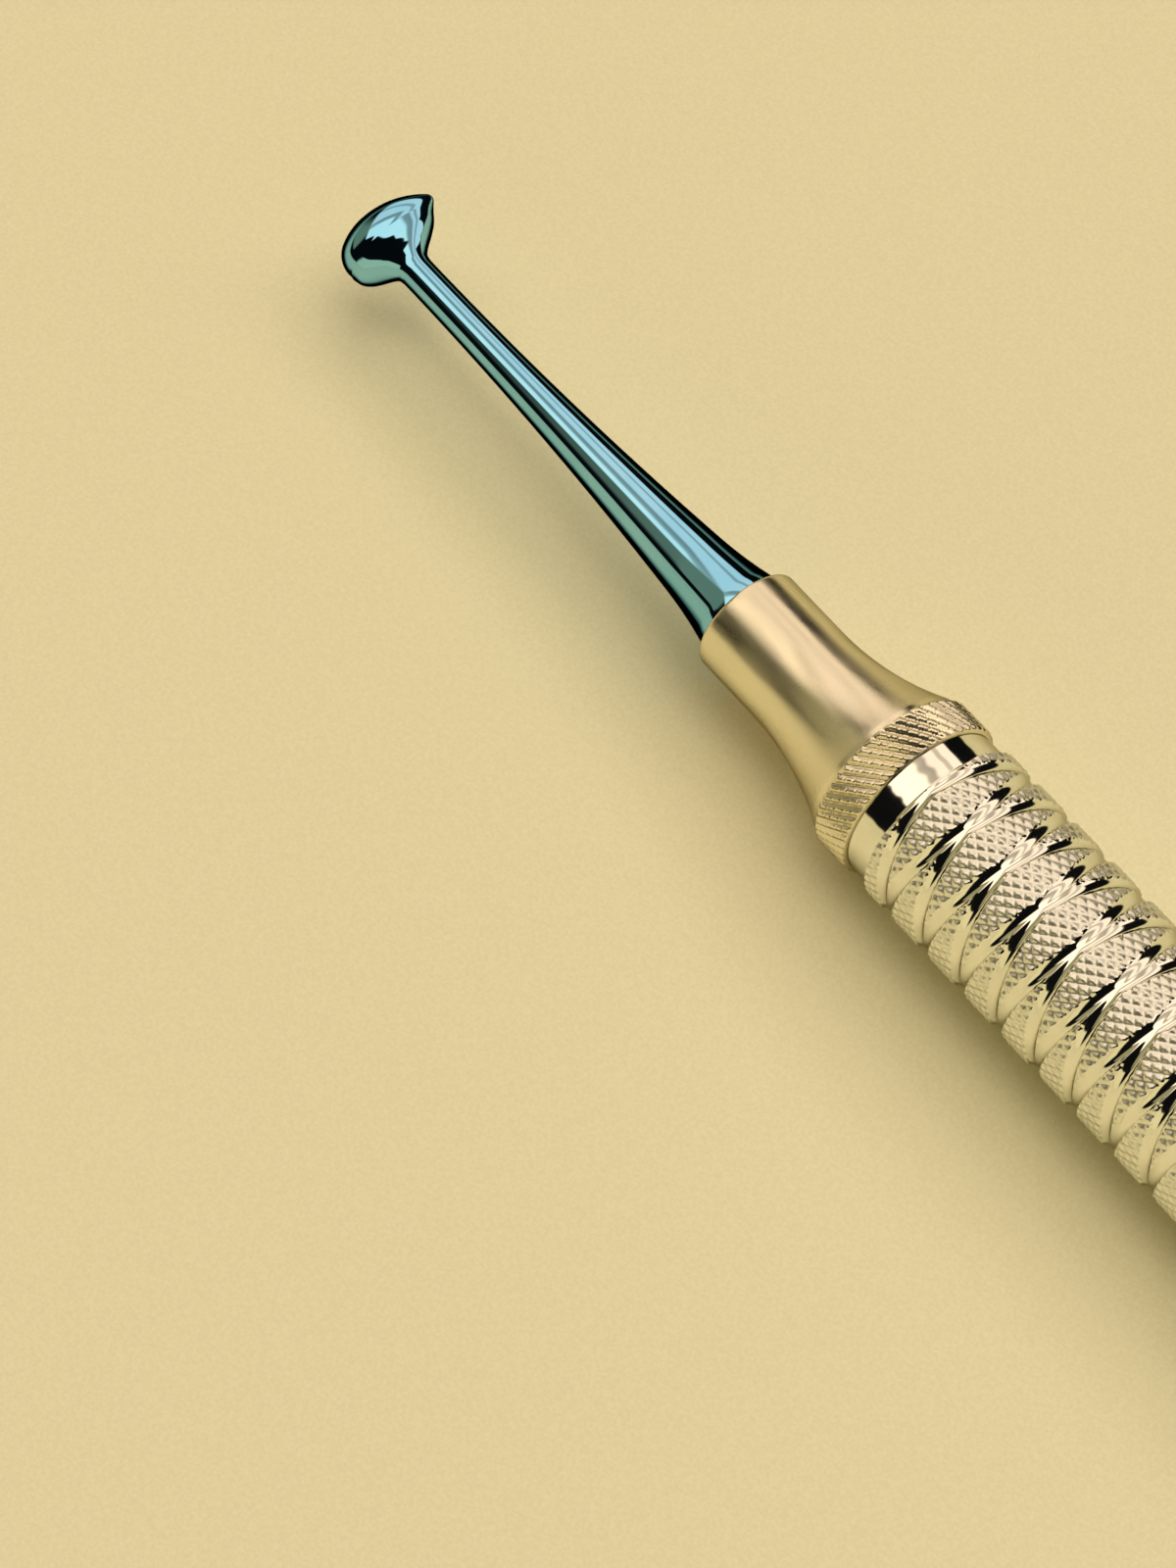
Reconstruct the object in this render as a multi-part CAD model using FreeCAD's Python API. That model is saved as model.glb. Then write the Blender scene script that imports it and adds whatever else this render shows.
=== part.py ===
import FreeCAD, Part
import math
import os
from FreeCAD import Vector

# Dental burnisher, in millimetres. X runs along the handle from the working end to the rear, Z is up.
# While it is built, x = 0 is the joint between the knurled ring and the handle tube. At the end
# everything moves so that the origin lies on the axis, in the middle of the plain rear grip.

# Handle tube
handle_radius = 4.75
tube_length = 104.0
tube_wall = 1.15
tube_edge = 0.2
band_length = 1.6

# Crossing grooves: two right-hand and two left-hand helices with a flat floor and sloping sides.
# The left-hand pair is a touch shallower, as the second pass of the cutter leaves it.
groove_spacing = 2.7
groove_rows = 10
groove_width = 0.72
groove_floor = 0.34
groove_depth = 0.285
groove_second_rise = 0.015
crossing_start = 0.165
crossing_turn = -14.0

# Ferrule at the front of the handle
ferrule_length = 13.27
ferrule_radius = 2.98
ferrule_straight = 4.0
ferrule_edge = 0.22
flare_radius = 4.48
ring_length = 2.2
ring_step = 0.35
ring_edge = 0.16
spigot_length = 6.0

# Rear plug
plug_rim = 0.25
plug_head = 1.5
plug_edge = 0.6
plug_spigot = 5.0

# Working tip: shank, flared neck and acorn head
shank_length = 29.15
shank_radius = 2.42
shank_root = 4.0
shank_root_radius = 1.857
neck_radius = 0.905
head_length = 5.81
head_peak = 3.49
head_radius = 1.66
head_point_radius = 0.36
head_end_radius = 1.47
head_reach = 3.19
head_turn = 67.0
tang_radius = 1.6
tang_length = 9.0

# Clearances between pieces that fit into each other
fit_gap = 0.02
end_gap = 0.3

bore_radius = handle_radius - tube_wall
spigot_radius = bore_radius - fit_gap
groove_end = band_length + groove_rows * groove_spacing
grip_start = groove_end + band_length
grip_end = tube_length - tube_edge
X_AXIS = Vector(1, 0, 0)
Z_AXIS = Vector(0, 0, 1)
CENTRE = Vector(0, 0, 0)


def line(a, b):
    return Part.makeLine(Vector(*a), Vector(*b))


def arc(a, b, direction):
    # The arc from a to b that leaves a along the direction
    start, end = Vector(*a), Vector(*b)
    ahead = Vector(*direction).normalize()
    chord = end - start
    across = chord - ahead * chord.dot(ahead)
    radius = chord.Length ** 2 / (2 * across.Length)
    centre = start + across.normalize() * radius
    middle = centre + ((start + end) * 0.5 - centre).normalize() * radius
    return Part.Arc(start, middle, end).toShape()


def turned(edges, axis=X_AXIS):
    # A solid of revolution from the closed outline of one half of its section
    face = Part.Face(Part.Wire(edges))
    return face.revolve(CENTRE, axis, 360)


def sides(corners):
    # Straight sides from corner to corner
    return [line(a, b) for a, b in zip(corners, corners[1:])]


# Handle tube

def groove_cutter(hand, start, depth):
    # One helical groove through a single row, longer than the row at both ends
    spare = groove_width + 0.1
    lift = 0.25
    lead = 2 * groove_spacing
    helix = Part.makeHelix(lead, groove_spacing + 2 * spare, handle_radius - depth, 0, hand < 0)
    half_floor = groove_floor / 2
    slope = (groove_width - groove_floor) / 2 / depth
    half_top = half_floor + slope * (depth + lift)
    floor_r = handle_radius - depth
    top_r = handle_radius + lift
    section = Part.Wire(sides([(floor_r, 0, -half_floor), (floor_r, 0, half_floor),
                               (top_r, 0, half_top), (top_r, 0, -half_top),
                               (floor_r, 0, -half_floor)]))
    cutter = Part.Wire(helix.Edges).makePipeShell([section], True, True)
    # Once the row lies along X, an angle of 180 - t here is the direction t from up towards +Y
    turn = 180 - crossing_turn - hand * 360 * (crossing_start + spare) / lead + 180 * start
    cutter.rotate(CENTRE, Z_AXIS, turn)
    cutter.translate(Vector(0, 0, -spare))
    return cutter


def grooved_row():
    row = Part.makeCylinder(handle_radius, groove_spacing)
    for hand, depth in ((1, groove_depth), (-1, groove_depth - groove_second_rise)):
        for start in (0, 1):
            row = row.cut(groove_cutter(hand, start, depth))
    row.rotate(CENTRE, Vector(0, 1, 0), 90)
    return row


def handle_tube():
    row = grooved_row()
    rows = []
    for i in range(groove_rows):
        copy = row.copy()
        copy.translate(Vector(band_length + i * groove_spacing, 0, 0))
        rows.append(copy)
    band_radius = handle_radius - groove_depth
    front_band = Part.makeCylinder(band_radius, band_length, CENTRE, X_AXIS)
    rear = turned(sides([(groove_end, 0, 0), (groove_end, band_radius, 0),
                         (grip_start, band_radius, 0), (grip_start, handle_radius, 0),
                         (grip_end, handle_radius, 0), (tube_length, handle_radius - tube_edge, 0),
                         (tube_length, 0, 0), (groove_end, 0, 0)]))
    tube = front_band.multiFuse(rows + [rear])
    # Lands that run on from row to row become one face each
    return tube.cut(Part.makeCylinder(bore_radius, tube_length, CENTRE, X_AXIS)).removeSplitter()


# Ferrule: straight nose, flare, ring and spigot, with a bore for the tang

def front_ferrule():
    front = -ferrule_length
    flare_start = front + ferrule_straight
    flare_end = -ring_length - ring_step
    bore = tang_radius + fit_gap
    bore_end = front + tang_length + end_gap
    nose = ferrule_radius - ferrule_edge
    edges = sides([(bore_end, 0, 0), (bore_end, bore, 0), (front, bore, 0), (front, nose, 0)])
    edges += sides([(front, nose, 0), (front + ferrule_edge, ferrule_radius, 0),
                    (flare_start, ferrule_radius, 0)])
    edges.append(arc((flare_start, ferrule_radius, 0), (flare_end, flare_radius, 0), (1, 0, 0)))
    edges += sides([(flare_end, flare_radius, 0),
                    (-ring_length, handle_radius - ring_edge, 0),
                    (-ring_length + ring_edge, handle_radius, 0),
                    (-ring_edge, handle_radius, 0),
                    (0, handle_radius - ring_edge, 0),
                    (0, spigot_radius, 0),
                    (spigot_length, spigot_radius, 0),
                    (spigot_length, 0, 0),
                    (bore_end, 0, 0)])
    return turned(edges)


# Rear plug: spigot and a flat head with a bevelled edge

def end_plug():
    rim = handle_radius - plug_rim
    inner = tube_length - plug_spigot
    face = tube_length + plug_head
    return turned(sides([(face, 0, 0), (inner, 0, 0), (inner, spigot_radius, 0), (tube_length, spigot_radius, 0),
                         (tube_length, rim, 0), (face - plug_edge, rim, 0), (face, rim - plug_edge, 0),
                         (face, 0, 0)]))


# Working tip, built with the shank along X and the acorn's point towards +Z

def acorn(head_x):
    # Rounded point, one arc that runs out level at the widest place, a fuller arc, rounded end.
    # Half sections as radius from the acorn's axis and distance from its point.
    point = head_point_radius
    rise = head_peak - point
    # The long arc's radius: it is level at the widest place and touches the rounded point
    long_side = (rise ** 2 + head_radius ** 2 - point ** 2) / (2 * (head_radius - point))
    share = point / (long_side - point)
    touch = (share * (long_side - head_radius), 0, point - share * rise)
    fall = head_length - head_end_radius - head_peak
    short_side = (fall ** 2 + head_radius ** 2 - head_end_radius ** 2) / (2 * (head_radius - head_end_radius))
    share = head_end_radius / (short_side - head_end_radius)
    leave = (share * (short_side - head_radius), 0, head_peak + fall + share * fall)
    peak = (head_radius, 0, head_peak)
    half = [arc((0, 0, 0), touch, (1, 0, 0)),
            arc(peak, touch, (0, 0, -1)),
            arc(peak, leave, (0, 0, 1)),
            arc((0, 0, head_length), leave, (1, 0, 0)),
            line((0, 0, head_length), (0, 0, 0))]
    body = turned(Part.sortEdges(half)[0], Z_AXIS)
    body.rotate(CENTRE, X_AXIS, 180)
    body.translate(Vector(head_x, 0, head_reach))
    return body


# Behind the head's own axis the neck swells into an oval that runs into the acorn. Each row: distance
# behind the axis as a share of the head's radius, swell along the acorn and across it as shares of the
# way from the neck to the widest oval, and the same share of the oval's shift towards the point.
FLARE = ((1.75, 0.0, 0.0, 0.0), (1.29, 0.09, 0.08, 0.1), (1.17, 0.21, 0.19, 0.2), (1.04, 0.39, 0.37, 0.4),
         (0.87, 0.66, 0.65, 0.6), (0.57, 1.0, 1.0, 1.0), (0.25, 0.96, 0.8, 1.0))
flare_shift = 0.06


def neck_flare(head_x):
    widest = FLARE[-2][0] * head_radius
    across = math.sqrt(head_radius ** 2 - widest ** 2) - fit_gap
    along = head_length - head_reach - (head_radius - across)
    sections = []
    for share, grow_along, grow_across, shift in FLARE:
        major = neck_radius + (along - neck_radius) * grow_along
        minor = neck_radius + (across - neck_radius) * grow_across
        oval = Part.Ellipse(CENTRE, major, minor) if grow_along else Part.Circle(CENTRE, Z_AXIS, major)
        ring = oval.toShape()
        ring.rotate(CENTRE, Vector(0, 1, 0), -90)
        ring.translate(Vector(head_x + share * head_radius, 0, shift * flare_shift))
        sections.append(Part.Wire(ring))
    return Part.makeLoft(sections, True, False)


def shank(head_x):
    front = head_x + FLARE[0][0] * head_radius
    rear = -ferrule_length
    root = rear - shank_root
    tang_end = rear + tang_length
    neck = (front, neck_radius, 0)
    knee = (root, shank_root_radius, 0)
    base = (rear, shank_radius, 0)
    taper = arc(neck, knee, (1, 0, 0))
    lean = 2 * math.atan2(shank_root_radius - neck_radius, root - front)
    edges = [taper, arc(knee, base, (math.cos(lean), math.sin(lean), 0))]
    edges += sides([base, (rear, tang_radius, 0), (tang_end, tang_radius, 0), (tang_end, 0, 0),
                    (front, 0, 0), neck])
    return turned(edges)


def burnisher_tip():
    head_x = -ferrule_length - shank_length
    body = acorn(head_x).fuse(neck_flare(head_x))
    body = body.fuse(shank(head_x))
    body.rotate(CENTRE, X_AXIS, -head_turn)
    return body


os.makedirs("parts", exist_ok=True)
grip_middle = (grip_start + grip_end) / 2
for name, build in (("burnisher_tip", burnisher_tip), ("front_ferrule", front_ferrule),
                    ("handle_tube", handle_tube), ("end_plug", end_plug)):
    solid = build()
    solid.translate(Vector(-grip_middle, 0, 0))
    if len(solid.Solids) == 1:
        solid = solid.Solids[0]
    print(name, "valid", solid.isValid(), "solids", len(solid.Solids), "faces", len(solid.Faces),
          "volume %.3f" % solid.Volume)
    solid.exportStep("parts/" + name + ".step")
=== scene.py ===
import math

import bpy
import numpy as np
from mathutils import Matrix, Vector


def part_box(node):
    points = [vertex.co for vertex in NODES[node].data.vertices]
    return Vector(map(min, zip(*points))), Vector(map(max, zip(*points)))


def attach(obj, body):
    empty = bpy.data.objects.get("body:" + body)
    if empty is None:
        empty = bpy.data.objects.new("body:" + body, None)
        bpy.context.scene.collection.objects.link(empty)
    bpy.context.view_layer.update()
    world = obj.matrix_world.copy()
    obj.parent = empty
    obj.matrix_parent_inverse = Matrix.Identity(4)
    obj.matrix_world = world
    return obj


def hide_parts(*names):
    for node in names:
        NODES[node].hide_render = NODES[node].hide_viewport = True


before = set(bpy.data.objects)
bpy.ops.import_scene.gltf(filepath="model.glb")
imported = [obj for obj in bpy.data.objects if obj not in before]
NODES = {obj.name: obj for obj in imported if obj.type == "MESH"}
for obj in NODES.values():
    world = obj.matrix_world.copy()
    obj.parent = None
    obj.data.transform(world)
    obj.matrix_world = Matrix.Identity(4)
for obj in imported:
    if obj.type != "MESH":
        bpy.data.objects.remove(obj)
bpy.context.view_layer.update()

# Dental burnisher. Lengths in the tables below are in millimetres, measured as in the part's source:
# along the handle from the joint between the knurled ring and the tube. MM turns them into metres.
MM = 0.001

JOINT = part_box("handle_tube")[0][0] / MM
TUBE_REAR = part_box("handle_tube")[1][0] / MM - JOINT
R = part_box("handle_tube")[1][1] / MM

# Handle: plain bands in front of and behind the rows of crossing grooves, then the rear grip
BORE = 3.6
BAND = 1.6
TUBE_EDGE = 0.2
GRIP_EDGE = 0.06
GRIP_OVERLAP = 0.03
GRIP_RINGS = (60.0, 85.0)
GRIP_COLUMNS = 192
SPACING = 2.7
ROWS = 10
GROOVE_WIDTH = 0.84
GROOVE_DEPTH = 0.24
BAND_DEPTH = 0.285
GROOVE_STEP = 0.0575
GROOVE_PIECES = 3
BAND_WAVE = 0.002
BAND_RINGS = 32
CROSS_AT = BAND + 0.165
CROSS_TURN = math.radians(-14)
GROOVE_END = BAND + ROWS * SPACING
GRIP_START = GROOVE_END + BAND

# Knurl of the lands and of the ring: diamonds round the handle, their length along it, their depth, how
# deep the second cut is as a share of the first, the flat left on top, and mesh columns for each diamond
KNURL_ROUND = 50
KNURL_LONG = 0.86
KNURL_DEEP = 0.11
KNURL_CROSS = 0.85
KNURL_FLAT = 0.12
KNURL_COLUMNS = 8
RING_ROUND = 49
RING_LONG = 0.84
RING_DEEP = 0.2
RING_CROSS = 0.4
RING_SHIFT = 0.2
RING_COUNT = 44

# Ferrule
FERRULE = 13.27
NOSE_R = 2.98
NOSE_STRAIGHT = 4.0
NOSE_EDGE = 0.22
FLARE_R = 4.48
RING = 2.2
RING_STEP = 0.35
RING_EDGE = 0.16
SPIGOT = 6.0
SPIGOT_R = 3.58
FIT_GAP = 0.02
END_GAP = 0.3

# Tip
SHANK = 29.15
SHANK_R = 2.42
ROOT = 4.0
ROOT_R = 1.857
SHOULDER = 0.75
SHOULDER_RISE = 0.065
NECK_R = 0.905
HEAD_LONG = 5.81
HEAD_PEAK = 3.49
HEAD_R = 1.66
POINT_R = 0.36
END_R = 1.47
REACH = 3.19
HEAD_TURN = math.radians(67)
TANG_R = 1.6
TANG = 9.0
TIP_COLUMNS = 200
CROWD = 0.55        # how much closer the tip's columns stand on the side of the acorn's point
BLEND = 0.5         # width of the rounded corner between the acorn and the oval flare


# Meshes

def add_object(name, mesh):
    obj = bpy.data.objects.new(name, mesh)
    bpy.context.scene.collection.objects.link(obj)
    return obj


def to_row(points):
    out = np.array(points, dtype=float) * MM
    out[..., 0] += JOINT * MM
    return out


def make_mesh(name, verts, faces, sharp=40):
    """A mesh from points in metres and a list of quad and triangle arrays."""
    mesh = bpy.data.meshes.new(name)
    verts = np.ascontiguousarray(verts, dtype=np.float32).reshape(-1, 3)
    counts = np.concatenate([np.full(len(f), f.shape[1]) for f in faces if len(f)])
    loops = np.concatenate([f.reshape(-1) for f in faces if len(f)])
    mesh.vertices.add(len(verts))
    mesh.vertices.foreach_set("co", verts.reshape(-1))
    mesh.loops.add(len(loops))
    mesh.loops.foreach_set("vertex_index", loops.astype(np.int32))
    mesh.polygons.add(len(counts))
    starts = np.concatenate([[0], np.cumsum(counts)[:-1]])
    mesh.polygons.foreach_set("loop_start", starts.astype(np.int32))
    mesh.polygons.foreach_set("loop_total", counts.astype(np.int32))
    mesh.update(calc_edges=True)
    mesh.validate()
    mesh.shade_smooth()
    if sharp:
        mesh.set_sharp_from_angle(angle=math.radians(sharp))
    return mesh


def strip(rows, columns, first, last, loop):
    """Quads between rows of points. Each row is closed into a ring."""
    i = np.arange(first, last)[:, None]
    j = np.arange(columns)[None, :]
    nxt = (j + 1) % columns
    up = (i + 1) % rows if loop else i + 1
    return np.stack([i * columns + j, i * columns + nxt, up * columns + nxt, up * columns + j],
                    axis=-1).reshape(-1, 4)


def mark(obj, name, values):
    """A number for each of the first points of the mesh, for the material to read."""
    every = np.zeros(len(obj.data.vertices), dtype=np.float32)
    every[:values.size] = values.reshape(-1)
    obj.data.attributes.new(name, "FLOAT", "POINT").data.foreach_set("value", every)


def ring_solid(name, rows, loop=False, sharp=40, normals=None):
    """A closed solid from rings of points. With loop the last ring joins the first, and otherwise the
    first and last rings shrink to a point each. Normals, one for each point, replace the faces' own."""
    count, columns = rows.shape[:2]
    verts = rows.reshape(-1, 3)
    faces = [strip(count, columns, 0, count if loop else count - 1, loop)]
    if not loop:
        ends = np.stack([rows[0].mean(axis=0), rows[-1].mean(axis=0)])
        verts = np.concatenate([verts, ends])
        j = np.arange(columns)
        nxt = (j + 1) % columns
        base = (count - 1) * columns
        one = np.stack([nxt, j, np.full(columns, count * columns)], axis=-1)
        two = np.stack([base + j, base + nxt, np.full(columns, count * columns + 1)], axis=-1)
        faces.append(np.concatenate([one, two]))
    mesh = make_mesh(name, verts, faces, 0 if normals is not None else sharp)
    if normals is not None:
        ends = np.zeros((len(verts) - count * columns, 3))
        every = np.concatenate([normals.reshape(-1, 3), ends])
        mesh.normals_split_custom_set_from_vertices(every.tolist())
    return add_object(name, mesh)


def ring_points(x, radius, turn):
    """Points round the X axis. Angles run from up towards +Y."""
    x, radius, turn = np.broadcast_arrays(x, radius, turn)
    return np.stack([x, radius * np.sin(turn), radius * np.cos(turn)], axis=-1)


def arc_points(a, b, ahead, count):
    """Points on the arc from a to b that leaves a along ahead, both ends included."""
    a, b, ahead = (np.array(v, dtype=float) for v in (a, b, ahead))
    ahead /= np.linalg.norm(ahead)
    chord = b - a
    across = chord - ahead * chord.dot(ahead)
    radius = chord.dot(chord) / (2 * np.linalg.norm(across))
    centre = a + across / np.linalg.norm(across) * radius
    total = 2 * math.atan2(np.linalg.norm(across), chord.dot(ahead))
    t = np.linspace(0, total, count)[:, None]
    inward = across / np.linalg.norm(across)
    return centre - inward * radius * np.cos(t) + ahead * radius * np.sin(t)


def zigzag(value):
    """1 on whole numbers, 0 half-way between them."""
    return np.abs(2 * (value - np.floor(value)) - 1)


def knurl(x, turn, around, long, cross):
    """Depth from 0 to 1 of a diamond knurl of straight-sided grooves."""
    one = zigzag(turn * around / (2 * math.pi) - x / long)
    two = zigzag(turn * around / (2 * math.pi) + x / long) - (1 - cross)
    return np.clip(np.maximum(one, two) - KNURL_FLAT, 0, None) / (1 - KNURL_FLAT)


# Handle tube: crossing round-bottomed grooves, knurled lands, plain bands and rear grip

def groove_depth(x, turn):
    """Depth of the crossing round-bottomed grooves at that place, negative on the lands."""
    half = GROOVE_WIDTH / 2
    rho = (GROOVE_DEPTH ** 2 + half ** 2) / (2 * GROOVE_DEPTH)
    best = np.full(np.broadcast(x, turn).shape, -1.0)
    for hand in (1, -1):
        off = x - CROSS_AT - hand * SPACING / math.pi * (turn - CROSS_TURN)
        off = off - SPACING * np.round(off / SPACING)
        inside = np.abs(off) < rho
        depth = np.where(inside, np.sqrt(np.clip(rho ** 2 - off ** 2, 0, None)) - rho + GROOVE_DEPTH, -1.0)
        best = np.maximum(best, depth)
    return best


def grooved_radius(x, turn):
    """Outer radius, and 1 where the surface is a knurled land or 0 where it is a groove."""
    land = R - KNURL_DEEP * knurl(x, turn, KNURL_ROUND, KNURL_LONG, KNURL_CROSS)
    groove = R - groove_depth(x, turn)
    return np.minimum(land, groove), (groove > R).astype(float)


def tube_piece(name, x, radius, lands, turn):
    """A closed length of tube: rings outside from front to rear, then back along the bore."""
    outer = ring_points(x[:, None], radius, turn[None, :])
    inner = ring_points(np.array([x[-1], x[0]])[:, None], BORE, turn[None, :])
    rows = np.concatenate([outer, inner])
    piece = ring_solid(name, to_row(rows)[::-1], loop=True, sharp=62)
    mark(piece, "land", np.concatenate([lands, np.zeros((2, len(turn)))])[::-1])
    return piece


def build_handle():
    columns = KNURL_ROUND * KNURL_COLUMNS
    turn = np.arange(columns) * 2 * math.pi / columns
    low = R - BAND_DEPTH
    pieces = []
    cuts = np.linspace(BAND, GROOVE_END, GROOVE_PIECES + 1)
    for i in range(GROOVE_PIECES):
        count = int(round((cuts[i + 1] - cuts[i]) / GROOVE_STEP))
        x = np.linspace(cuts[i], cuts[i + 1], count + 1)
        radius, lands = grooved_radius(x[:, None], turn[None, :])
        if i == 0:
            # The front band, with two very shallow turning waves along it
            front = np.linspace(0, BAND - 0.05, BAND_RINGS)
            wave = low - BAND_WAVE + BAND_WAVE * np.cos(4 * math.pi * front / BAND)
            x = np.concatenate([front, x])
            radius = np.concatenate([wave[:, None] * np.ones((1, columns)), radius])
            lands = np.concatenate([np.zeros((len(front), columns)), lands])
        if i == GROOVE_PIECES - 1:
            rear = [GROOVE_END + 0.05, GROOVE_END + 0.1, GRIP_START - GRIP_OVERLAP]
            x = np.concatenate([x, rear])
            radius = np.concatenate([radius, np.full((len(rear), columns), low)])
            lands = np.concatenate([lands, np.zeros((len(rear), columns))])
        pieces.append(tube_piece("handle_grooves_%d" % (i + 1), x, radius, lands, turn))
    turn = np.arange(GRIP_COLUMNS) * 2 * math.pi / GRIP_COLUMNS
    x = np.array([GRIP_START - GRIP_OVERLAP, GRIP_START, GRIP_START + GRIP_EDGE, *GRIP_RINGS,
                  TUBE_REAR - TUBE_EDGE, TUBE_REAR])
    radius = np.array([low, R - GRIP_EDGE, R, R, R, R, R - TUBE_EDGE])[:, None] * np.ones((1, GRIP_COLUMNS))
    pieces.append(tube_piece("handle_rear_grip", x, radius, (radius >= R).astype(float), turn))
    return pieces


# Ferrule

def build_ferrule():
    columns = RING_ROUND * KNURL_COLUMNS
    turn = np.arange(columns) * 2 * math.pi / columns
    front = -FERRULE
    bore = TANG_R + FIT_GAP
    bore_end = front + TANG + END_GAP
    flare_end = -RING - RING_STEP
    nose_start = front + NOSE_EDGE
    nose_end = front + NOSE_STRAIGHT
    straight = [(x, NOSE_R) for x in np.linspace(nose_start + 0.3, nose_end - 0.3, 5)]
    plain = np.concatenate([[(bore_end, bore), (front, bore)],
                            arc_points((front, NOSE_R - NOSE_EDGE), (nose_start, NOSE_R), (0, 1), 7),
                            straight,
                            arc_points((nose_end, NOSE_R), (flare_end, FLARE_R), (1, 0), 28)])
    rows = [ring_points(plain[:, :1], plain[:, 1:], turn[None, :])]
    # The ring: its outline, and the knurl, which fades out before both of the ring's edges
    x = np.linspace(flare_end + 0.04, 0, RING_COUNT)
    outline = np.interp(x, [flare_end, -RING, -RING + RING_EDGE, -RING_EDGE, 0],
                        [FLARE_R, R - RING_EDGE, R, R, R - RING_EDGE])
    fade = np.interp(x, [-RING - 0.12, -RING + 0.05, -0.12, -0.02], [0, 1, 1, 0])
    cut = RING_DEEP * knurl(x[:, None] + RING_SHIFT, turn[None, :], RING_ROUND, RING_LONG, RING_CROSS)
    radius = np.minimum(outline[:, None], R - cut * fade[:, None])
    rows.append(ring_points(x[:, None], radius, turn[None, :]))
    tail = np.array([(0, SPIGOT_R), (SPIGOT, SPIGOT_R)], dtype=float)
    rows.append(ring_points(tail[:, :1], tail[:, 1:], turn[None, :]))
    every = np.concatenate(rows)
    piece = ring_solid("ferrule_knurled", to_row(every)[::-1], sharp=50)
    ring = (every[..., 0] > flare_end) & (every[..., 0] <= 0)
    mark(piece, "land", ring.astype(float)[::-1])
    return piece


# Tip: a smooth skin over the acorn, the oval flare and the neck

# Rows of the flare: distance behind the acorn's axis, and the swell along the acorn and across it as
# shares of the way from the neck to the widest oval
FLARE_AT = np.array([1.75, 1.53, 1.29, 1.17, 1.04, 0.87, 0.57, 0.25]) * HEAD_R
FLARE_ALONG = np.array([0.0, 0.01, 0.09, 0.21, 0.39, 0.66, 1.0, 0.96])
FLARE_ACROSS = np.array([0.0, 0.01, 0.08, 0.19, 0.37, 0.65, 1.0, 0.8])


def acorn_distance(rho, t):
    """Distance outside the acorn. rho is off its axis and t is from its point."""
    rise = HEAD_PEAK - POINT_R
    long_side = (rise ** 2 + HEAD_R ** 2 - POINT_R ** 2) / (2 * (HEAD_R - POINT_R))
    fall = HEAD_LONG - END_R - HEAD_PEAK
    short_side = (fall ** 2 + HEAD_R ** 2 - END_R ** 2) / (2 * (HEAD_R - END_R))
    long_d = np.hypot(rho - HEAD_R + long_side, t - HEAD_PEAK) - long_side
    short_d = np.hypot(rho - HEAD_R + short_side, t - HEAD_PEAK) - short_side
    point_d = np.hypot(rho, t - POINT_R) - POINT_R
    end_t = HEAD_PEAK + fall
    end_d = np.hypot(rho, t - end_t) - END_R
    # Sides of the lines through each pair of arc centres
    at_point = rho * rise + (t - POINT_R) * (long_side - HEAD_R) < 0
    at_end = rho * fall - (t - end_t) * (short_side - HEAD_R) < 0
    upper = np.where(at_point, point_d, long_d)
    lower = np.where(at_end, end_d, short_d)
    return np.where(t < HEAD_PEAK, upper, lower)


def smooth_curve(at, xs, ys):
    """A curve without overshoot through the points, xs falling."""
    xs, ys = xs[::-1], ys[::-1]
    slope = np.gradient(ys, xs)
    i = np.clip(np.searchsorted(xs, at) - 1, 0, len(xs) - 2)
    h = xs[i + 1] - xs[i]
    s = np.clip((at - xs[i]) / h, 0, 1)
    return ((1 + 2 * s) * (1 - s) ** 2 * ys[i] + s * (1 - s) ** 2 * h * slope[i]
            + s ** 2 * (3 - 2 * s) * ys[i + 1] + s ** 2 * (s - 1) * h * slope[i + 1])


def head_field(behind, y, z):
    """Below 0 inside the head, flare and neck. behind is the distance behind the acorn's axis."""
    rho = np.hypot(behind, y)
    acorn = acorn_distance(rho, REACH - z)
    across_max = math.sqrt(HEAD_R ** 2 - FLARE_AT[-2] ** 2)
    along_max = HEAD_LONG - REACH - (HEAD_R - across_max)
    half_z = NECK_R + (along_max - NECK_R) * smooth_curve(behind, FLARE_AT, FLARE_ALONG)
    half_y = NECK_R + (across_max - NECK_R) * smooth_curve(behind, FLARE_AT, FLARE_ACROSS)
    oval = (np.hypot(z / half_z, y / half_y) - 1) * np.minimum(half_z, half_y)
    oval = np.where(behind < FLARE_AT[-1], oval + (FLARE_AT[-1] - behind), oval)
    h = np.clip(0.5 + 0.5 * (oval - acorn) / BLEND, 0, 1)
    return oval * (1 - h) + acorn * h - BLEND * h * (1 - h)


def head_normals(behind, y, z):
    """Unit normals of the head from the slope of its field."""
    step = 0.002
    slope = [head_field(behind + step, y, z) - head_field(behind - step, y, z),
             head_field(behind, y + step, z) - head_field(behind, y - step, z),
             head_field(behind, y, z + step) - head_field(behind, y, z - step)]
    out = np.stack(slope, axis=-1)
    return out / np.linalg.norm(out, axis=-1, keepdims=True)


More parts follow.
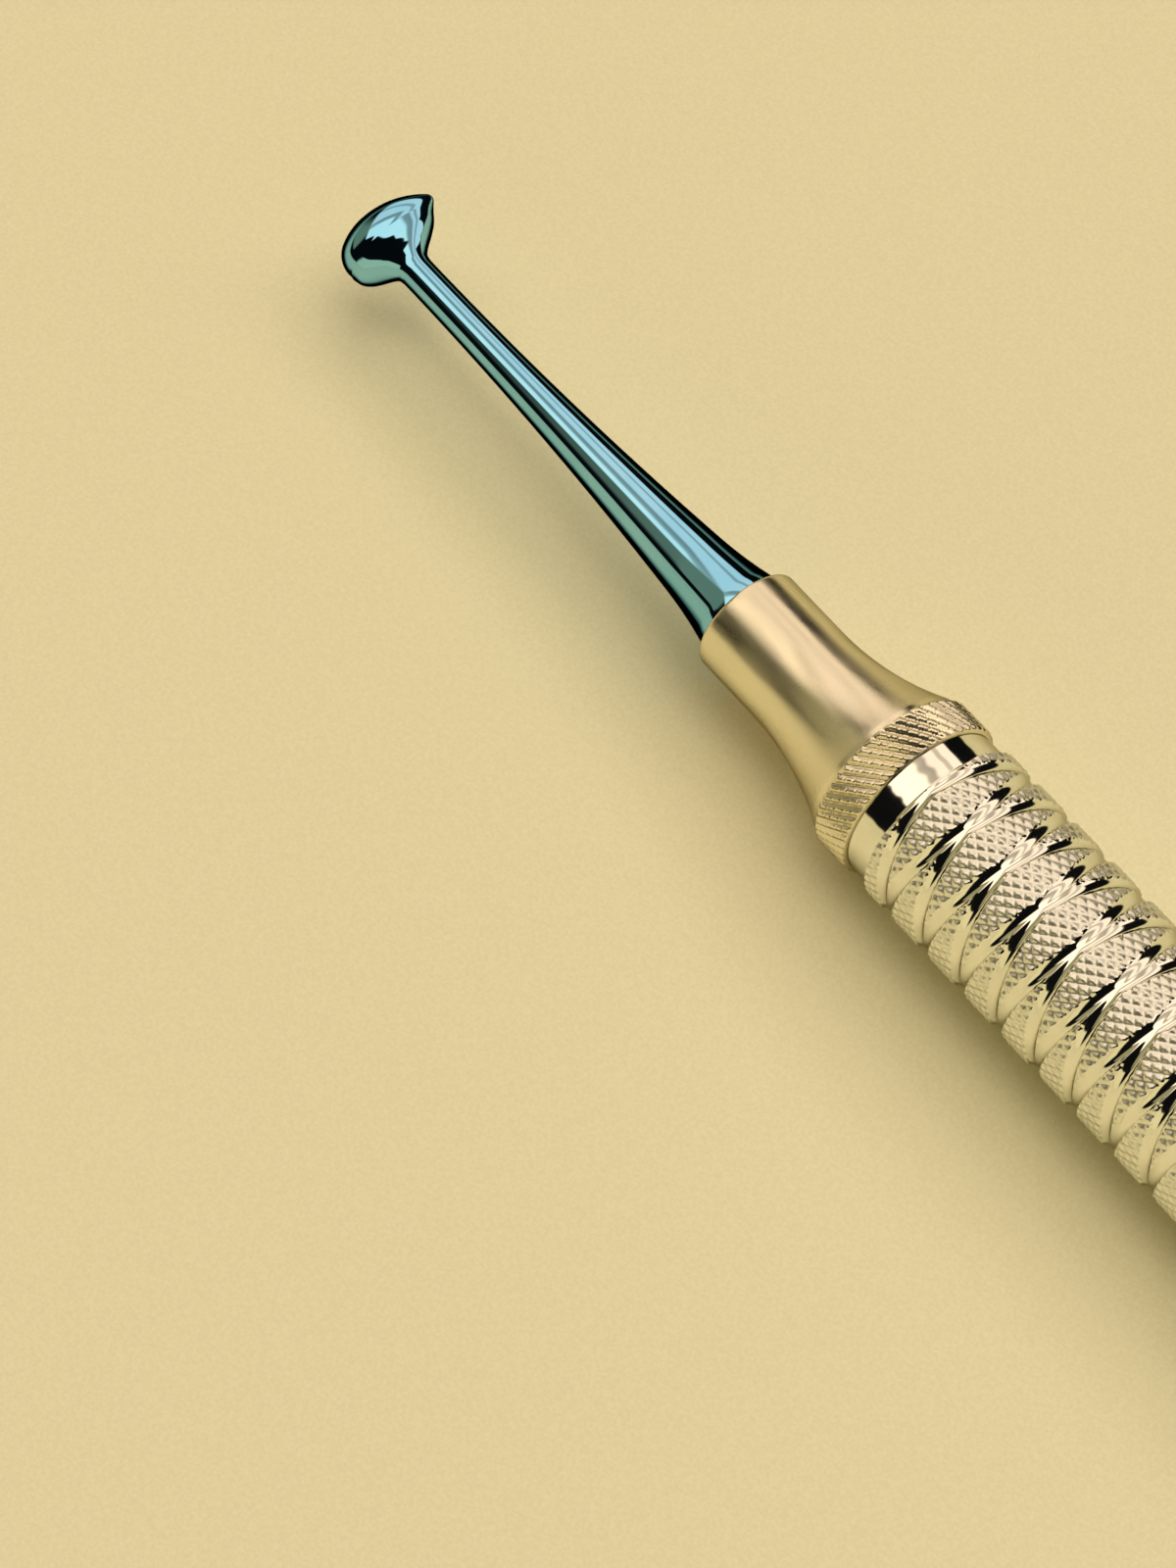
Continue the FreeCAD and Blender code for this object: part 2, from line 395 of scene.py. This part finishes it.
def head_rows(columns):
    """Rings from the front of the acorn to the start of the shank, in the head's own frame."""
    front = -HEAD_R * np.cos(np.linspace(0.02, math.pi / 2, 72))
    rear = np.linspace(0, FLARE_AT[0], 90)[1:]
    behind = np.concatenate([front, rear])
    span = np.sqrt(np.clip(HEAD_R ** 2 - behind ** 2, 0, None))
    # Each ring's points lie on rays from a middle that stays inside the head
    middle_z = (2 * REACH - HEAD_LONG) / 2 * np.clip(1 - np.abs(behind) / HEAD_R, 0, 1) ** 0.5
    middle_z = np.where(behind < 0, middle_z, middle_z * np.clip(1 - behind / 1.2, 0, 1))
    middle_z = np.where(np.abs(behind) > 1.5, -0.3 * (behind < 0), middle_z)
    even = np.linspace(0, 2 * math.pi, columns, endpoint=False)
    wide = even - CROWD * np.sin(even)
    tall = np.where(behind < 0, span * 1.75, np.maximum(span * 1.75, NECK_R))
    thick = np.maximum(span, NECK_R * (behind > 0))
    step_z = np.cos(wide)[None, :] * np.maximum(tall, 0.02)[:, None]
    step_y = np.sin(wide)[None, :] * np.maximum(thick, 0.02)[:, None]
    low = np.zeros_like(step_z)
    high = np.full_like(step_z, 3.0)
    b = behind[:, None] * np.ones_like(step_z)
    # Halve the stretch between inside and outside until it is far below a micron
    for _ in range(40):
        mid = (low + high) / 2
        inside = head_field(b, step_y * mid, middle_z[:, None] + step_z * mid) < 0
        low = np.where(inside, mid, low)
        high = np.where(inside, high, mid)
    y, z = step_y * low, middle_z[:, None] + step_z * low
    return b, y, z, head_normals(b, y, z)


def turned_head(rows):
    """From the head's own frame, with its point up, to the frame of the handle."""
    c, s = math.cos(HEAD_TURN), math.sin(HEAD_TURN)
    x, y, z = rows[..., 0], rows[..., 1], rows[..., 2]
    return np.stack([x, y * c + z * s, z * c - y * s], axis=-1)


def build_tip():
    head_x = -FERRULE - SHANK
    behind, y, z, head_n = head_rows(TIP_COLUMNS)
    head = np.stack([behind + head_x, y, z], axis=-1)
    neck_x = head_x + FLARE_AT[0]
    knee = (-FERRULE - ROOT, ROOT_R)
    taper = arc_points((neck_x, NECK_R), knee, (1, 0), 50)
    lean = 2 * math.atan2(ROOT_R - NECK_R, knee[0] - neck_x)
    shoulder_start = (-FERRULE - SHOULDER, SHANK_R - SHOULDER_RISE)
    root = arc_points(knee, shoulder_start, (math.cos(lean), math.sin(lean)), 20)
    lean = 2 * math.atan2(root[-1][1] - root[-2][1], root[-1][0] - root[-2][0]) / 2
    shoulder = arc_points(root[-1], (-FERRULE, SHANK_R), (math.cos(lean), math.sin(lean)), 10)
    root = np.concatenate([root, shoulder[1:]])
    tail = np.array([(-FERRULE, TANG_R), (-FERRULE + TANG, TANG_R)], dtype=float)
    side = np.concatenate([taper[1:], root[1:], tail])
    # Angles of the shank's rings match those of the head's rings, which start at the point
    turn = np.linspace(0, 2 * math.pi, TIP_COLUMNS, endpoint=False)
    turn = turn - CROWD * np.sin(turn)
    rest = ring_points(side[:, :1], side[:, 1:], turn[None, :])
    lean = np.arctan(np.gradient(side[:-2, 1], side[:-2, 0]))
    lean = np.concatenate([lean, [0, 0]])[:, None]
    rest_n = ring_points(-np.sin(lean), np.cos(lean), turn[None, :])
    rows = turned_head(np.concatenate([head, rest]))
    normals = turned_head(np.concatenate([head_n, rest_n]))
    return ring_solid("tip_polished", to_row(rows)[::-1], normals=normals[::-1])


# Materials

def new_material(name):
    mat = bpy.data.materials.new(name)
    mat.use_nodes = True
    nodes = mat.node_tree.nodes
    nodes.clear()
    out = nodes.new("ShaderNodeOutputMaterial")
    shader = nodes.new("ShaderNodeBsdfPrincipled")
    mat.node_tree.links.new(shader.outputs[0], out.inputs["Surface"])
    return mat, nodes, mat.node_tree.links, shader


def noise_node(nodes, links, scale, stretch=(1, 1, 1), detail=3.0):
    coord = nodes.new("ShaderNodeTexCoord")
    mapping = nodes.new("ShaderNodeMapping")
    mapping.inputs["Scale"].default_value = stretch
    noise = nodes.new("ShaderNodeTexNoise")
    noise.inputs["Scale"].default_value = scale
    noise.inputs["Detail"].default_value = detail
    links.new(coord.outputs["Object"], mapping.inputs["Vector"])
    links.new(mapping.outputs["Vector"], noise.inputs["Vector"])
    return noise


def ramp_node(nodes, links, source, stops):
    ramp = nodes.new("ShaderNodeValToRGB")
    elements = ramp.color_ramp.elements
    while len(elements) < len(stops):
        elements.new(0.5)
    for element, (place, colour) in zip(elements, stops):
        element.position = place
        element.color = (*colour, 1)
    links.new(source, ramp.inputs["Fac"])
    return ramp


def metal(name, colours, rough, noise_scale, edge, stretch=(1, 1, 1), bump=0.0, bump_scale=4000):
    """Metal whose colour and roughness wander a little between two values each. edge is its colour at a
    shallow angle."""
    mat, nodes, links, shader = new_material(name)
    noise = noise_node(nodes, links, noise_scale, stretch)
    ramp = ramp_node(nodes, links, noise.outputs["Fac"], [(0.35, colours[0]), (0.65, colours[1])])
    links.new(ramp.outputs["Color"], shader.inputs["Base Color"])
    spread = nodes.new("ShaderNodeMapRange")
    spread.inputs["From Min"].default_value = 0.35
    spread.inputs["From Max"].default_value = 0.65
    spread.inputs["To Min"].default_value = rough[0]
    spread.inputs["To Max"].default_value = rough[1]
    links.new(noise.outputs["Fac"], spread.inputs["Value"])
    links.new(spread.outputs["Result"], shader.inputs["Roughness"])
    shader.inputs["Metallic"].default_value = 1.0
    shader.inputs["Specular Tint"].default_value = (*edge, 1)
    if bump:
        grain = noise_node(nodes, links, bump_scale, detail=2.0)
        relief = nodes.new("ShaderNodeBump")
        relief.inputs["Strength"].default_value = bump
        relief.inputs["Distance"].default_value = 0.00002
        links.new(grain.outputs["Fac"], relief.inputs["Height"])
        links.new(relief.outputs["Normal"], shader.inputs["Normal"])
    return mat


def paint_dark_rim(mat, start, end):
    """Painted shade: the base colour drops to almost black at a shallow angle, whatever the light, which
    paints a dark rim along the edges.
    """
    nodes, links = mat.node_tree.nodes, mat.node_tree.links
    shader = nodes["Principled BSDF"]
    facing = nodes.new("ShaderNodeLayerWeight")
    facing.inputs["Blend"].default_value = 0.5
    fade = ramp_node(nodes, links, facing.outputs["Facing"], [(start, (1, 1, 1)), (end, (0.04, 0.05, 0.05))])
    mix = nodes.new("ShaderNodeMix")
    mix.data_type = "RGBA"
    mix.blend_type = "MULTIPLY"
    mix.inputs["Factor"].default_value = 1.0
    links.new(shader.inputs["Base Color"].links[0].from_socket, mix.inputs["A"])
    links.new(fade.outputs["Color"], mix.inputs["B"])
    links.new(mix.outputs["Result"], shader.inputs["Base Color"])


def brush_round(mat, amount):
    """Fine turning marks round the X axis: reflections spread along the axis."""
    nodes, links = mat.node_tree.nodes, mat.node_tree.links
    shader = nodes["Principled BSDF"]
    tangent = nodes.new("ShaderNodeTangent")
    tangent.direction_type = "RADIAL"
    tangent.axis = "X"
    links.new(tangent.outputs[0], shader.inputs["Tangent"])
    shader.inputs["Anisotropic"].default_value = amount
    shader.inputs["Anisotropic Rotation"].default_value = 0.25


def knurled_rough(mat, rough):
    """Makes the marked, knurled places rougher by that much, or smoother if it is negative."""
    nodes, links = mat.node_tree.nodes, mat.node_tree.links
    shader = nodes["Principled BSDF"]
    land = nodes.new("ShaderNodeAttribute")
    land.attribute_name = "land"
    scale = nodes.new("ShaderNodeMath")
    scale.operation = "MULTIPLY_ADD"
    scale.inputs[1].default_value = rough
    links.new(land.outputs["Fac"], scale.inputs[0])
    links.new(shader.inputs["Roughness"].links[0].from_socket, scale.inputs[2])
    links.new(scale.outputs[0], shader.inputs["Roughness"])


blue = metal("blue coated steel", ((0.25, 0.60, 0.86), (0.30, 0.66, 0.92)), (0.03, 0.06), 300,
             (0.0, 0.01, 0.02))
# Painted shade: a dark rim along the tip's edges, from its base colour fading at a shallow angle.
paint_dark_rim(blue, 0.42, 0.56)
satin = metal("satin steel", ((0.83, 0.77, 0.57), (0.90, 0.84, 0.63)), (0.24, 0.36), 900,
              (0.35, 0.33, 0.27), stretch=(0.3, 1, 1), bump=0.1, bump_scale=3500)
brush_round(satin, 0.75)
knurled_rough(satin, -0.08)
polished = metal("polished steel", ((0.88, 0.88, 0.77), (0.94, 0.94, 0.83)), (0.05, 0.09), 700,
                 (0.5, 0.48, 0.40))
knurled_rough(polished, 0.3)


def dress(obj, node, mat):
    """Gives a piece its material and puts it in the place of a CAD node."""
    obj.data.materials.clear()
    obj.data.materials.append(mat)
    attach(obj, "root")
    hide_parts(node)


dress(build_tip(), "burnisher_tip", blue)
dress(build_ferrule(), "front_ferrule", satin)
for piece in build_handle():
    dress(piece, "handle_tube", polished)
plug = NODES["end_plug"]
plug.data.materials.clear()
plug.data.materials.append(satin)

# Floor and light

paper, nodes, links, shader = new_material("warm paper")
grain = noise_node(nodes, links, 5200, detail=2.0)
tone = ramp_node(nodes, links, grain.outputs["Fac"], [(0.3, (0.84, 0.80, 0.54)), (0.7, (0.90, 0.86, 0.59))])
links.new(tone.outputs["Color"], shader.inputs["Base Color"])
shader.inputs["Roughness"].default_value = 0.9
relief = nodes.new("ShaderNodeBump")
relief.inputs["Strength"].default_value = 0.15
relief.inputs["Distance"].default_value = 0.0001
links.new(grain.outputs["Fac"], relief.inputs["Height"])
links.new(relief.outputs["Normal"], shader.inputs["Normal"])

FLOOR_HALF = 0.8
corners = [(-1, -1), (1, -1), (1, 1), (-1, 1)]
floor_points = np.array([(x * FLOOR_HALF, y * FLOOR_HALF, -R * MM) for x, y in corners])
floor_mesh = make_mesh("floor", floor_points, [np.array([[0, 1, 2, 3]])], 0)
floor = add_object("floor", floor_mesh)
floor.data.materials.append(paper)


# A broad lamp fills the paper. It stays out of the metal's reflections.

FILL_TRAVELS = (-0.1, -0.35, -1.0)
lamp_data = bpy.data.lights.new("fill", "SUN")
lamp_data.angle = math.radians(70)
lamp_data.energy = 0.92
lamp_data.color = (1.0, 0.94, 0.74)
lamp = bpy.data.objects.new("fill", lamp_data)
bpy.context.scene.collection.objects.link(lamp)
lamp.rotation_euler = Vector(FILL_TRAVELS).to_track_quat("-Z", "Y").to_euler()
lamp.visible_glossy = False

# World: a wide soft light overhead, dark surroundings, and a pale band low down all round like the paper
# itself. Limits are slopes from straight up: how far sideways for one unit up. The light is BRIGHT on the
# camera's side and SOFTER beyond the bent joint.

BRIGHT = (1.55, 1.27, 0.98)
SOFTER = (1.24, 1.00, 0.81)
DIM = (0.33, 0.29, 0.16)
LOW = (0.70, 0.58, 0.31)
PALE = (0.80, 0.67, 0.36)
DARK = (0.004, 0.004, 0.004)

world = bpy.data.worlds.new("studio")
bpy.context.scene.world = world
world.use_nodes = True
world_nodes = world.node_tree.nodes
world_links = world.node_tree.links


def math_node(operation, *values):
    node = world_nodes.new("ShaderNodeMath")
    node.operation = operation
    for socket, value in zip(node.inputs, values):
        if hasattr(value, "is_linked"):
            world_links.new(value, socket)
        else:
            socket.default_value = value
    return node.outputs[0]


def edge(value, soft):
    """0 below the edge and 1 above it, with a soft step of that width."""
    node = world_nodes.new("ShaderNodeMapRange")
    node.interpolation_type = "SMOOTHSTEP"
    world_links.new(value, node.inputs["Value"])
    node.inputs["From Min"].default_value = -soft / 2
    node.inputs["From Max"].default_value = soft / 2
    return node.outputs[0]


def both(*values):
    out = values[0]
    for value in values[1:]:
        out = math_node("MULTIPLY", out, value)
    return out


def mix_colour(factor, one, two):
    node = world_nodes.new("ShaderNodeMix")
    node.data_type = "RGBA"
    world_links.new(factor, node.inputs["Factor"])
    for socket, value in ((node.inputs["A"], one), (node.inputs["B"], two)):
        if hasattr(value, "is_linked"):
            world_links.new(value, socket)
        else:
            socket.default_value = (*value, 1)
    return node.outputs["Result"]


def build_world():
    coord = world_nodes.new("ShaderNodeTexCoord")
    split = world_nodes.new("ShaderNodeSeparateXYZ")
    world_links.new(coord.outputs["Generated"], split.inputs[0])
    x, y, z = split.outputs

    def plane(slope, skew, side):
        """Distance inside the line y = slope * z + skew * x."""
        line = math_node("ADD", math_node("MULTIPLY", z, slope), math_node("MULTIPLY", x, skew))
        return math_node("SUBTRACT", *((y, line) if side > 0 else (line, y)))

    # The light's edges, on the camera's side, beyond the handle and at its two ends
    above = edge(z, 0.02)
    near = edge(math_node("MAXIMUM", plane(-0.15, 0.0, 1), plane(-0.24, 1.0, 1)), 0.05)
    near_left = edge(math_node("MAXIMUM", plane(-1.35, -1.05, 1), plane(-0.9, -0.5, 1)), 0.12)
    near_right = edge(plane(-0.66, 1.2, 1), 0.05)
    far = edge(math_node("MAXIMUM", plane(1.15, -0.25, -1), plane(0.45, 1.18, -1)), 0.06)
    left = edge(math_node("SUBTRACT", x, math_node("MULTIPLY", z, -9.0)), 0.2)
    right = edge(math_node("SUBTRACT", math_node("MULTIPLY", z, 4.0), x), 0.2)
    panel = both(near, near_left, near_right, far, left, right, above)
    # Two dark joints between the light's panels: the first one bends
    bent = math_node("MAXIMUM", plane(0.38, 0.0, 1), plane(0.56, 0.9, 1))
    for off, half, taken in ((bent, 0.13, 0.62), (plane(0.78, 0.1, 1), 0.07, 0.45)):
        gap = edge(math_node("SUBTRACT", half, math_node("ABSOLUTE", off)), half)
        panel = math_node("MULTIPLY", panel, math_node("SUBTRACT", 1.0, math_node("MULTIPLY", gap, taken)))
    # A dimmer patch low on the camera's side, past the tip
    dim_side = edge(math_node("SUBTRACT", -0.54, x), 0.14)
    dim_low = both(edge(plane(-2.4, 0.0, 1), 0.1), edge(plane(-0.13, 1.2, 1), 0.15))
    dim_near = edge(plane(-0.2, 0.0, -1), 0.3)
    dim = both(dim_side, dim_low, dim_near, above)
    # Something pale low on the camera's side, behind the handle
    pale = both(edge(plane(-1.85, 0.2, -1), 0.06),
                edge(math_node("SUBTRACT", x, math_node("ADD", math_node("MULTIPLY", z, 0.17),
                                                        math_node("MULTIPLY", y, 0.143))), 0.06))
    # The pale band, up to a slope of 0.13 above the horizon
    low = edge(math_node("SUBTRACT", 0.13, z), 0.06)
    colour = mix_colour(dim, DARK, DIM)
    colour = mix_colour(pale, colour, PALE)
    light = mix_colour(edge(bent, 0.25), BRIGHT, SOFTER)
    colour = mix_colour(panel, colour, light)
    colour = mix_colour(low, colour, LOW)
    world_links.new(colour, world_nodes["Background"].inputs["Color"])


build_world()

# Camera: above the table and in front of the handle's rear half, looking down on the working end

YAW = math.radians(52.05)
TILT = math.radians(58.67)
LENS = 173.85
PLACE = (101.02, -98.86, 232.41)
right = Vector((math.cos(YAW), math.sin(YAW), 0))
ahead = Vector((-math.sin(YAW) * math.cos(TILT), math.cos(YAW) * math.cos(TILT), -math.sin(TILT)))
up = right.cross(ahead)
camera_data = bpy.data.cameras.new("camera")
camera_data.sensor_fit = "HORIZONTAL"
camera_data.sensor_width = 36.0
camera_data.lens = LENS
camera_data.clip_start = 0.01
camera_data.clip_end = 20
camera = bpy.data.objects.new("camera", camera_data)
bpy.context.scene.collection.objects.link(camera)
place = Vector(to_row(PLACE))
camera.matrix_world = Matrix((
    (right.x, up.x, -ahead.x, place.x),
    (right.y, up.y, -ahead.y, place.y),
    (right.z, up.z, -ahead.z, place.z),
    (0, 0, 0, 1)))
bpy.context.scene.camera = camera
bpy.context.scene.view_settings.view_transform = "Standard"
